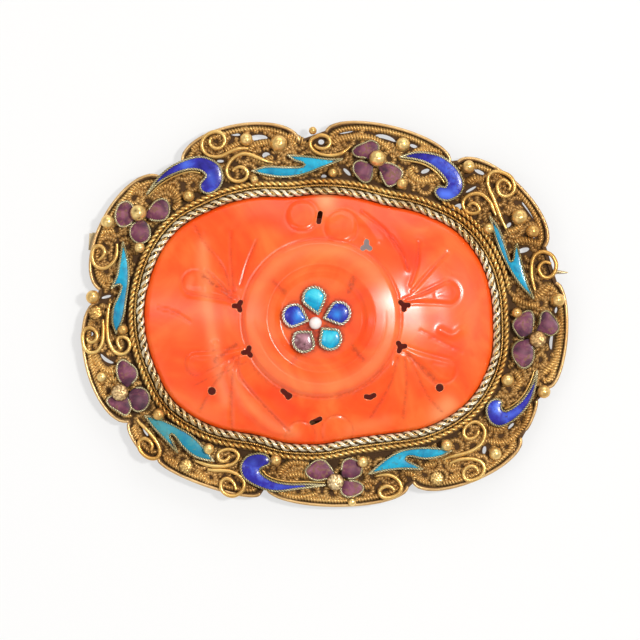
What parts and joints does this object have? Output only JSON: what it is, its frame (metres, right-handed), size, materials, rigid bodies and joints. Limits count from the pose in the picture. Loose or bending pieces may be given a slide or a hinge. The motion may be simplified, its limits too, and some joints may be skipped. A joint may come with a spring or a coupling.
{
  "type": "brooch",
  "caption": "Oval filigree brooch with a carved coral plaque, a braided and roped setting, a lobed pierced border with enamelled ornaments and a hinged pin behind.",
  "frame": {"origin": "middle of the brooch's outline on the surface that it lies on, below its pin fittings", "axes": "+X along the brooch's length towards the pin's point, +Y towards its top edge, +Z out of its face, away from the pin"},
  "size_m": [0.0585, 0.0463, 0.0077],
  "materials": {
    "coral": "polished, carved, with fine cracks and pits",
    "gilt_silver": "gilt silver, worn, dark in the recesses",
    "dark_gilt": "tarnished gilt wire",
    "pale_silver": "pale silver-gold wire",
    "gold_wire": "gilt wire and shot, worn",
    "turquoise_enamel": "mottled turquoise enamel, glossy",
    "blue_enamel": "dark blue enamel with lighter patches, glossy",
    "purple_enamel": "purple enamel, worn",
    "pearl": "pale seed pearl",
    "pin_metal": "dull gilt wire"
  },
  "bodies": {
    "brooch": {"coral_plaque": "coral", "filigree_border": "gilt_silver", "ground_coils": "dark_gilt", "silver_braid": "pale_silver", "gold_rope": "gold_wire", "outer_rope": "gold_wire", "leaf_1": "turquoise_enamel", "leaf_2": "turquoise_enamel", "leaf_3": "turquoise_enamel", "leaf_4": "turquoise_enamel", "leaf_5": "turquoise_enamel", "comma_1": "blue_enamel", "comma_2": "blue_enamel", "comma_3": "blue_enamel", "comma_4": "blue_enamel", "rim_flower_1": "purple_enamel", "rim_flower_2": "purple_enamel", "rim_flower_3": "purple_enamel", "rim_flower_4": "purple_enamel", "rim_flower_5": "purple_enamel", "flower_bead_1": "gold_wire", "flower_bead_2": "gold_wire", "flower_bead_3": "gold_wire", "flower_bead_4": "gold_wire", "flower_bead_5": "gold_wire", "scroll_1": "gold_wire", "scroll_2": "gold_wire", "scroll_3": "gold_wire", "scroll_4": "gold_wire", "scroll_5": "gold_wire", "scroll_6": "gold_wire", "scroll_7": "gold_wire", "scroll_8": "gold_wire", "scroll_9": "gold_wire", "scroll_10": "gold_wire", "scroll_11": "gold_wire", "scroll_12": "gold_wire", "scroll_13": "gold_wire", "scroll_14": "gold_wire", "scroll_15": "gold_wire", "gold_shot": "gold_wire", "centre_petal_1": "turquoise_enamel", "centre_petal_2": "blue_enamel", "centre_petal_3": "turquoise_enamel", "centre_petal_4": "purple_enamel", "centre_petal_5": "blue_enamel", "centre_pearl": "pearl", "pin_hinge": "pin_metal", "pin_catch": "pin_metal"},
    "pin": {"pin_stem": "pin_metal"}
  },
  "joints": [
    {"name": "pin_turn", "type": "hinge", "parent": "brooch", "child": "pin", "pos_m": [-0.0277, 0.0086, 0.0007], "axis": [0.0645, 0.9979, 0], "range_deg": [0, 70]}
  ]
}
